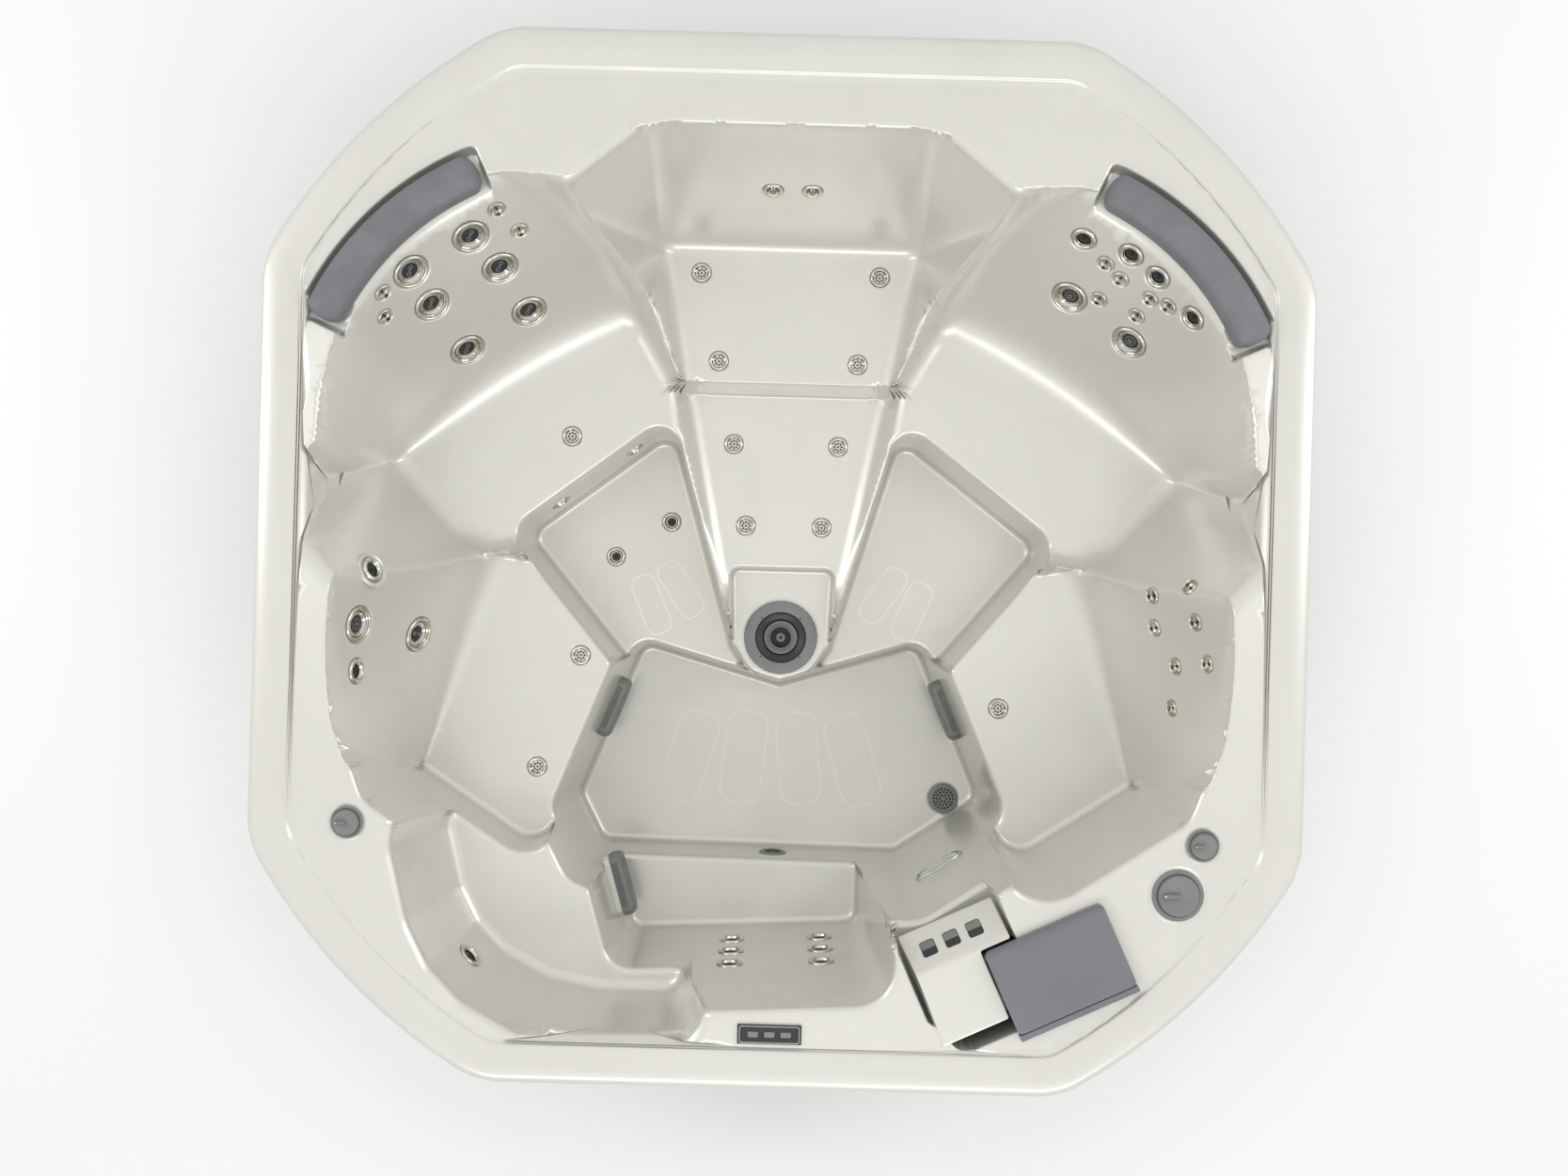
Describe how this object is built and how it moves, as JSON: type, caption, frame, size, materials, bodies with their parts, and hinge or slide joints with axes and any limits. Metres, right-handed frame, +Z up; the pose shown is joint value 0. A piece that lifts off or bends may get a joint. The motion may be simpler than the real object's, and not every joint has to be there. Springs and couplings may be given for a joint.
{
  "type": "hot tub",
  "caption": "Square acrylic hot tub: moulded seats and footwell with jets, grilles, filter lid, pillows and valves, in a planked cabinet on a base pan.",
  "frame": {"origin": "centre of the tub's plan on the floor under the base pan", "axes": "+Z up; +Y towards the lounge and the two pillows; -Y towards the control panel, filter lid and access panel"},
  "size_m": [2.31, 2.31, 0.9754],
  "materials": {
    "pearl_acrylic": "polished, pearl flake",
    "grey_plastic": "satin moulded",
    "grey_violet_plastic": "satin moulded",
    "grey_violet_foam": "soft skinned foam",
    "jet_chrome": "polished stainless",
    "dark_plastic": "satin moulded",
    "cabinet_board": "grained plank",
    "frame_steel": "galvanised",
    "white_pipe": "extruded",
    "filter_fabric": "pleated",
    "clear_lens": "moulded clear"
  },
  "bodies": {
    "tub": {"access_panel": "cabinet_board", "air_control_left_stem": "grey_plastic", "air_control_right_stem": "grey_plastic", "base_pan": "dark_plastic", "cabinet_wall": "cabinet_board", "control_panel": "dark_plastic", "diverter_stem": "grey_plastic", "filter_cartridge_left": "filter_fabric", "filter_cartridge_right": "filter_fabric", "filter_water_box": "grey_plastic", "floor_drain": "grey_plastic", "foot_jet_bezel": "grey_plastic", "foot_jet_housing": "grey_plastic", "front_return": "grey_plastic", "grille_front": "grey_plastic", "grille_left": "grey_plastic", "grille_right": "grey_plastic", "jet_cool_seat": "jet_chrome", "jet_pump_1": "dark_plastic", "jet_pump_2": "dark_plastic", "jets_front_wall": "jet_chrome", "jets_lounge": "jet_chrome", "jets_rear_left": "jet_chrome", "jets_rear_right": "jet_chrome", "jets_side_left": "jet_chrome", "jets_side_right": "jet_chrome", "jets_step": "jet_chrome", "lid_hinge_strip": "grey_violet_plastic", "light_lens": "clear_lens", "main_pipe": "white_pipe", "pillow_left": "grey_violet_foam", "pillow_right": "grey_violet_foam", "sensor_fitting": "jet_chrome", "shell": "pearl_acrylic", "skimmer_cover": "pearl_acrylic", "spa_pack": "frame_steel", "support_frame": "frame_steel"},
    "lid": {"filter_lid": "grey_violet_plastic"},
    "diverter": {"diverter_knob": "grey_plastic"},
    "air_control_left": {"air_control_left_knob": "grey_plastic"},
    "air_control_right": {"air_control_right_knob": "grey_plastic"},
    "foot_nozzle": {"foot_jet_nozzle": "dark_plastic"},
    "face_01": {"jet_face_01": "dark_plastic"},
    "face_02": {"jet_face_02": "dark_plastic"},
    "face_03": {"jet_face_03": "dark_plastic"},
    "face_04": {"jet_face_04": "dark_plastic"},
    "face_05": {"jet_face_05": "dark_plastic"},
    "face_06": {"jet_face_06": "dark_plastic"},
    "face_07": {"jet_face_07": "dark_plastic"},
    "face_08": {"jet_face_08": "dark_plastic"},
    "face_09": {"jet_face_09": "dark_plastic"},
    "face_10": {"jet_face_10": "dark_plastic"},
    "weir_door_1": {"weir_1": "grey_plastic"},
    "weir_door_2": {"weir_2": "grey_plastic"},
    "weir_door_3": {"weir_3": "grey_plastic"},
    "button_1": {"panel_button_1": "grey_plastic"},
    "button_2": {"panel_button_2": "grey_plastic"},
    "button_3": {"panel_button_3": "grey_plastic"}
  },
  "joints": [
    {"name": "lid_hinge", "type": "hinge", "parent": "tub", "child": "lid", "pos_m": [0.54221, -1.01451, 0.9694], "axis": [0.9063, 0.4226, 0], "range_deg": [0, 100]},
    {"name": "diverter_turn", "type": "hinge", "parent": "tub", "child": "diverter", "pos_m": [0.88358, -0.70455, 0.938], "axis": [0, 0, 1], "range_deg": [-90, 90]},
    {"name": "air_control_left_turn", "type": "hinge", "parent": "tub", "child": "air_control_left", "pos_m": [-0.93555, -0.59483, 0.938], "axis": [0, 0, 1], "range_deg": [0, 120]},
    {"name": "air_control_right_turn", "type": "hinge", "parent": "tub", "child": "air_control_right", "pos_m": [0.93555, -0.59483, 0.938], "axis": [0, 0, 1], "range_deg": [0, 120]},
    {"name": "foot_jet_turn", "type": "hinge", "parent": "tub", "child": "foot_nozzle", "pos_m": [0, -0.18249, 0.357], "axis": [0, 0, 1], "range_deg": [0, 120]},
    {"name": "jet_01_turn", "type": "hinge", "parent": "tub", "child": "face_01", "pos_m": [-0.62145, 0.58657, 0.59517], "axis": [0.404, -0.7134, 0.5726], "range_deg": [0, 120]},
    {"name": "jet_02_turn", "type": "hinge", "parent": "tub", "child": "face_02", "pos_m": [-0.67112, 0.66395, 0.72658], "axis": [0.4081, -0.711, 0.5726], "range_deg": [0, 120]},
    {"name": "jet_03_turn", "type": "hinge", "parent": "tub", "child": "face_03", "pos_m": [-0.72201, 0.71358, 0.82488], "axis": [0.4292, -0.6991, 0.5718], "range_deg": [0, 120]},
    {"name": "jet_04_turn", "type": "hinge", "parent": "tub", "child": "face_04", "pos_m": [-0.85072, 0.62781, 0.84249], "axis": [0.5984, -0.6016, 0.5292], "range_deg": [0, 120]},
    {"name": "jet_05_turn", "type": "hinge", "parent": "tub", "child": "face_05", "pos_m": [-0.82175, 0.5713, 0.74535], "axis": [0.5657, -0.6292, 0.533], "range_deg": [0, 120]},
    {"name": "jet_06_turn", "type": "hinge", "parent": "tub", "child": "face_06", "pos_m": [-0.76611, 0.49059, 0.59242], "axis": [0.4998, -0.6754, 0.5422], "range_deg": [0, 120]},
    {"name": "jet_07_turn", "type": "hinge", "parent": "tub", "child": "face_07", "pos_m": [0.79509, 0.53903, 0.67951], "axis": [-0.5341, -0.6514, 0.539], "range_deg": [0, 120]},
    {"name": "jet_08_turn", "type": "hinge", "parent": "tub", "child": "face_08", "pos_m": [0.65263, 0.6397, 0.68332], "axis": [-0.4047, -0.713, 0.5726], "range_deg": [0, 120]},
    {"name": "jet_09_turn", "type": "hinge", "parent": "tub", "child": "face_09", "pos_m": [-0.85963, -0.19105, 0.61963], "axis": [0.8719, -0.2251, 0.4349], "range_deg": [0, 120]},
    {"name": "jet_10_turn", "type": "hinge", "parent": "tub", "child": "face_10", "pos_m": [-0.95212, -0.166, 0.82147], "axis": [0.9018, -0.1067, 0.4187], "range_deg": [0, 120]},
    {"name": "weir_1_hinge", "type": "hinge", "parent": "tub", "child": "weir_door_1", "pos_m": [0.34222, -0.83407, 0.88062], "axis": [0.9063, 0.4226, 0], "range_deg": [0, 70], "stiffness_Nm_per_rad": 0.05},
    {"name": "weir_2_hinge", "type": "hinge", "parent": "tub", "child": "weir_door_2", "pos_m": [0.39206, -0.81083, 0.88062], "axis": [0.9063, 0.4226, 0], "range_deg": [0, 70], "stiffness_Nm_per_rad": 0.05},
    {"name": "weir_3_hinge", "type": "hinge", "parent": "tub", "child": "weir_door_3", "pos_m": [0.44191, -0.78758, 0.88062], "axis": [0.9063, 0.4226, 0], "range_deg": [0, 70], "stiffness_Nm_per_rad": 0.05},
    {"name": "button_1_press", "type": "slide", "parent": "tub", "child": "button_1", "axis": [0, 0, -1], "range_m": [0, 0.0012], "stiffness_N_per_m": 400},
    {"name": "button_2_press", "type": "slide", "parent": "tub", "child": "button_2", "axis": [0, 0, -1], "range_m": [0, 0.0012], "stiffness_N_per_m": 400},
    {"name": "button_3_press", "type": "slide", "parent": "tub", "child": "button_3", "axis": [0, 0, -1], "range_m": [0, 0.0012], "stiffness_N_per_m": 400}
  ]
}
